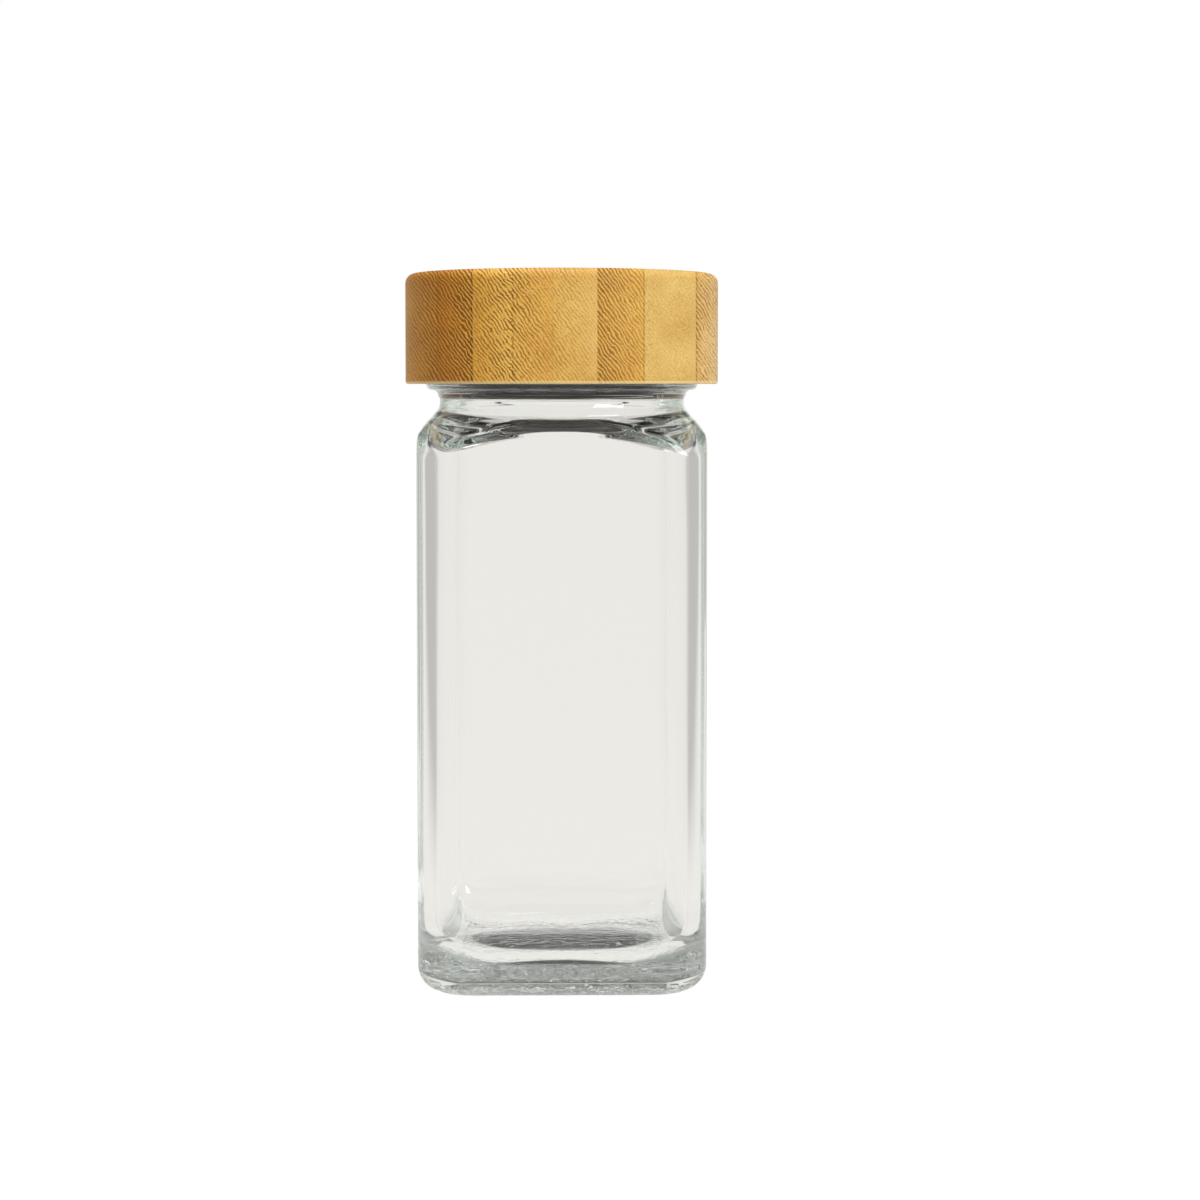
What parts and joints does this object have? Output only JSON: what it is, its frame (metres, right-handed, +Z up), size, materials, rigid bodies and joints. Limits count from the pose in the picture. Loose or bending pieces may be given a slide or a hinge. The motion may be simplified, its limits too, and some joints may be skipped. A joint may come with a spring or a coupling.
{
  "type": "spice jar",
  "caption": "Square clear glass spice jar with a shaker disc pressed into its mouth and a round screw lid of laminated bamboo with a threaded liner.",
  "frame": {"origin": "centre of the base, on the table", "axes": "+Z up along the jar's axis, the front flat side towards -Y, +X to the right"},
  "size_m": [0.049, 0.049, 0.11],
  "materials": {
    "glass": "clear, faint grey-green, glossy",
    "bamboo": "turned and sanded laminated bamboo, satin",
    "liner_plastic": "moulded polypropylene, dark brown",
    "sifter_plastic": "moulded polypropylene, black",
    "seal_foam": "closed-cell polyethylene foam, white"
  },
  "bodies": {
    "jar": {"glass_jar": "glass", "sifter_insert": "sifter_plastic"},
    "seal": {"seal_disc": "seal_foam"},
    "lid": {"bamboo_lid": "bamboo", "lid_liner": "liner_plastic"}
  },
  "joints": [
    {"name": "lid_lift", "type": "slide", "parent": "jar", "child": "seal", "axis": [0, 0, 1], "range_m": [0, 0.01693]},
    {"name": "lid_turn", "type": "hinge", "parent": "seal", "child": "lid", "pos_m": [0, 0, 0.1], "axis": [0, 0, 1], "range_deg": [0, 1440]}
  ],
  "couplings": [
    {"joint": "lid_lift", "follows": "lid_turn", "m_per_rad": 0.00067322}
  ]
}
